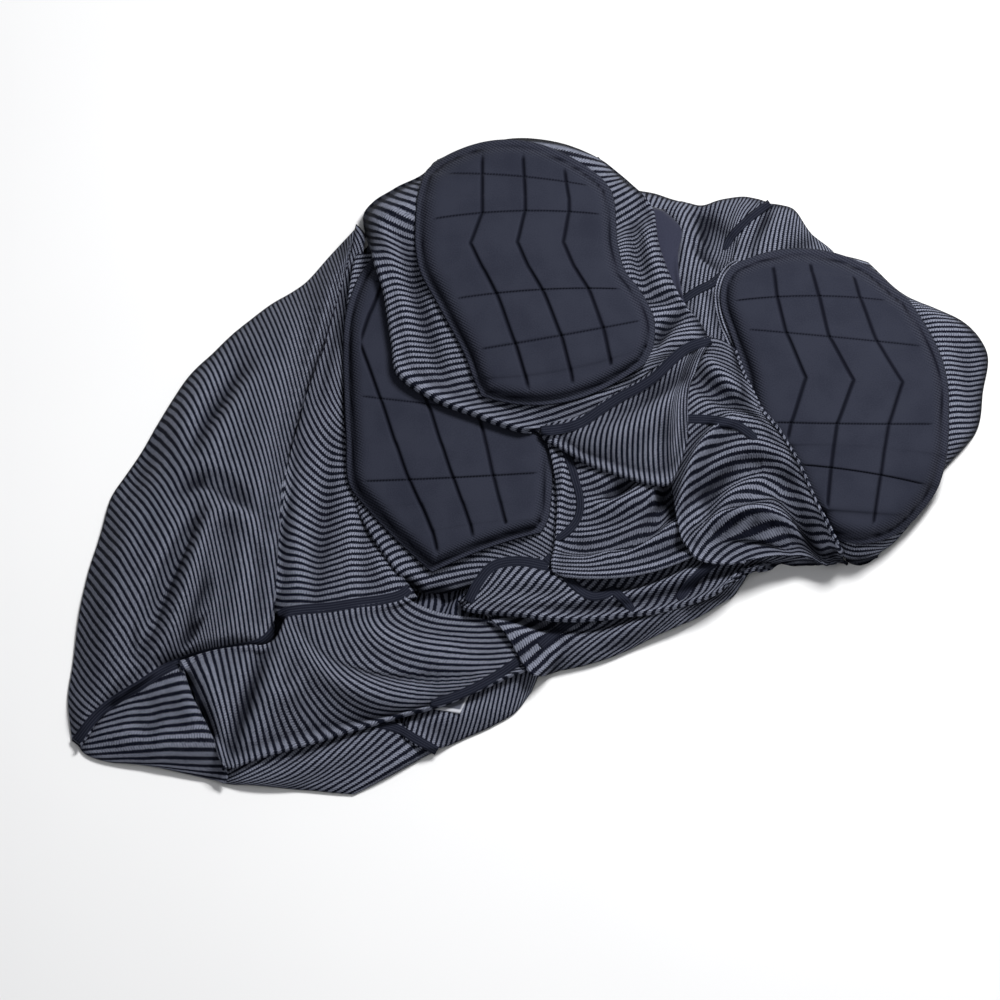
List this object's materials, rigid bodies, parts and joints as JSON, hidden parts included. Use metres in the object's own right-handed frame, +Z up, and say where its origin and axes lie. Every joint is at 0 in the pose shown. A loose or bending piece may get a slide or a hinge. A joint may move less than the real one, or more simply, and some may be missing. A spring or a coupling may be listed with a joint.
{
  "type": "padded compression shirt",
  "caption": "Striped knit compression shirt with quilted impact pads, dropped in a loose heap that rests on a flat surface.",
  "frame": {"origin": "middle of the heap's footprint, on the surface that it rests on", "axes": "+Z up from the surface; +X to the right and +Y away from the viewer in the picture's view"},
  "size_m": [0.5708, 0.4972, 0.0687],
  "materials": {
    "striped_knit": "matte",
    "pad_knit": "matte",
    "plain_navy_knit": "matte",
    "label_tape": "satin"
  },
  "bodies": {
    "root": {"hem_flap": "striped_knit", "label_flap": "striped_knit", "hem_back": "striped_knit", "side_panel": "striped_knit", "back_panel": "striped_knit", "hem_front": "striped_knit", "lower_pad_panel": "striped_knit", "shoulder_panel": "striped_knit", "shoulder_yoke": "striped_knit", "shoulder_strip": "striped_knit", "right_pad_panel": "striped_knit", "cuff_under": "striped_knit", "sleeve_bottom": "striped_knit", "sleeve_under": "striped_knit", "sleeve_centre": "striped_knit", "upper_panel": "striped_knit", "centre_flap": "striped_knit", "hidden_layers": "striped_knit", "pad_lower": "pad_knit", "pad_right": "pad_knit", "pad_upper": "pad_knit", "gusset": "plain_navy_knit", "label": "label_tape"}
  },
  "joints": []
}
